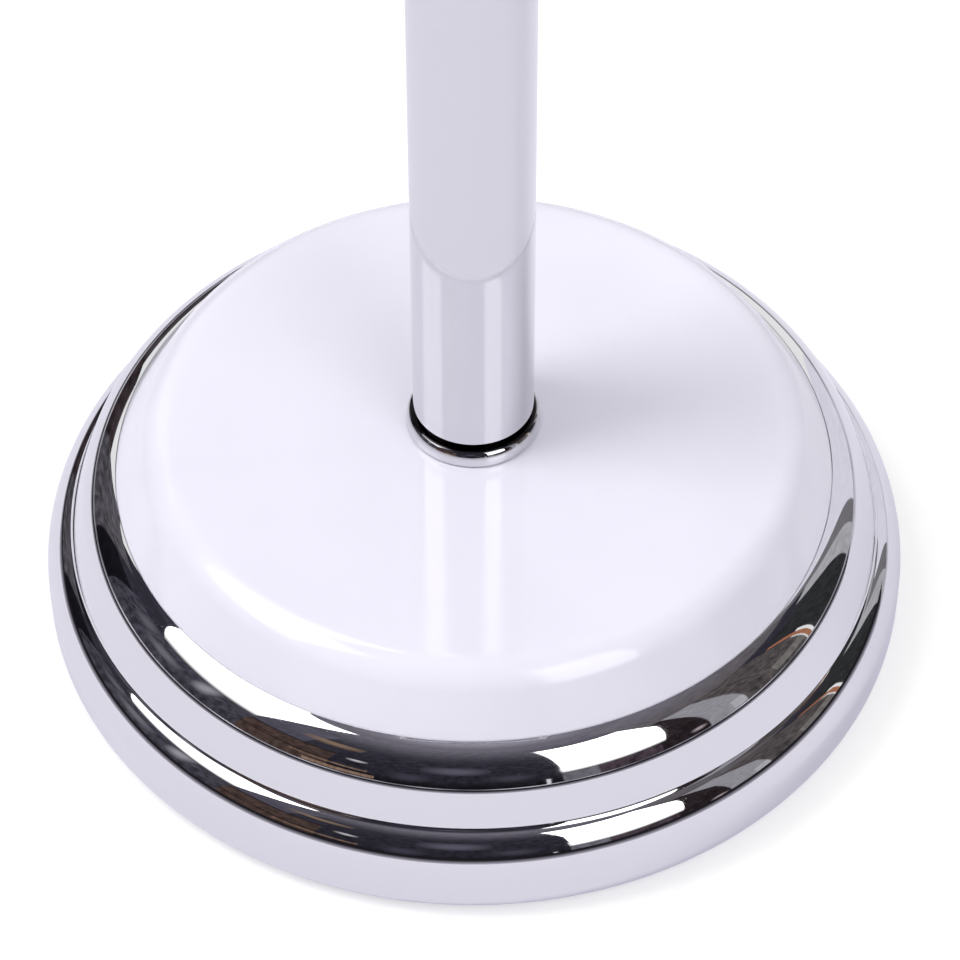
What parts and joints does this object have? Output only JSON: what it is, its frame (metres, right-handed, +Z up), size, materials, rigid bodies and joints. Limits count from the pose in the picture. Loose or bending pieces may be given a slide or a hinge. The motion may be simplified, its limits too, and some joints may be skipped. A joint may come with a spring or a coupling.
{
  "type": "freestanding toilet paper holder",
  "caption": "Freestanding toilet paper holder: weighted round base with chrome steps and a white cap, chrome pole, forward arms and a spring-loaded roller that spins and compresses.",
  "frame": {"origin": "on the floor, in the middle of the foot ring, under the pole's axis", "axes": "+Z up the pole, +X along the roller from its thick half to its thin half, -Y to the front, where the paper roll hangs"},
  "size_m": [0.182, 0.182, 0.5866],
  "materials": {
    "polished_chrome": "mirror-polished chrome plate",
    "white_enamel": "high-gloss white",
    "cast_iron": "raw sand-cast",
    "zinc_plated_steel": "dull zinc plate",
    "spring_steel": "bare spring wire",
    "foot_rubber": "matte black"
  },
  "bodies": {
    "stand": {"base_ring": "polished_chrome", "base_dome": "white_enamel", "ballast_weight": "cast_iron", "bottom_plate": "zinc_plated_steel", "plate_screw_1": "zinc_plated_steel", "plate_screw_2": "zinc_plated_steel", "plate_screw_3": "zinc_plated_steel", "foot_ring": "foot_rubber", "bolt_washer": "zinc_plated_steel", "lock_washer": "spring_steel", "tie_bolt": "zinc_plated_steel", "pole_collar": "polished_chrome", "pole_foot_plug": "zinc_plated_steel", "pole_lower_tube": "polished_chrome", "pole_joiner": "zinc_plated_steel", "pole_upper_tube": "polished_chrome", "pole_head_plug": "zinc_plated_steel", "head_stud": "zinc_plated_steel", "head_body": "polished_chrome", "finial_ring": "polished_chrome", "finial_dome": "white_enamel", "arm_left": "polished_chrome", "arm_right": "polished_chrome", "arm_set_screw_left": "zinc_plated_steel", "arm_set_screw_right": "zinc_plated_steel", "arm_cup_left": "polished_chrome", "arm_cup_right": "polished_chrome"},
    "roller_thick_half": {"roller_outer_tube": "polished_chrome", "roller_cap_left": "polished_chrome", "roller_spring": "spring_steel"},
    "roller_thin_half": {"roller_inner_tube": "polished_chrome", "roller_cap_right": "polished_chrome"}
  },
  "joints": [
    {"name": "roller_spin", "type": "hinge", "parent": "stand", "child": "roller_thick_half", "pos_m": [0, -0.075, 0.5605], "axis": [1, 0, 0], "continuous": true},
    {"name": "roller_compress", "type": "slide", "parent": "roller_thick_half", "child": "roller_thin_half", "axis": [1, 0, 0], "range_m": [-0.012, 0], "stiffness_N_per_m": 350, "springref_m": 0.012, "deforming": ["roller_spring"]}
  ]
}
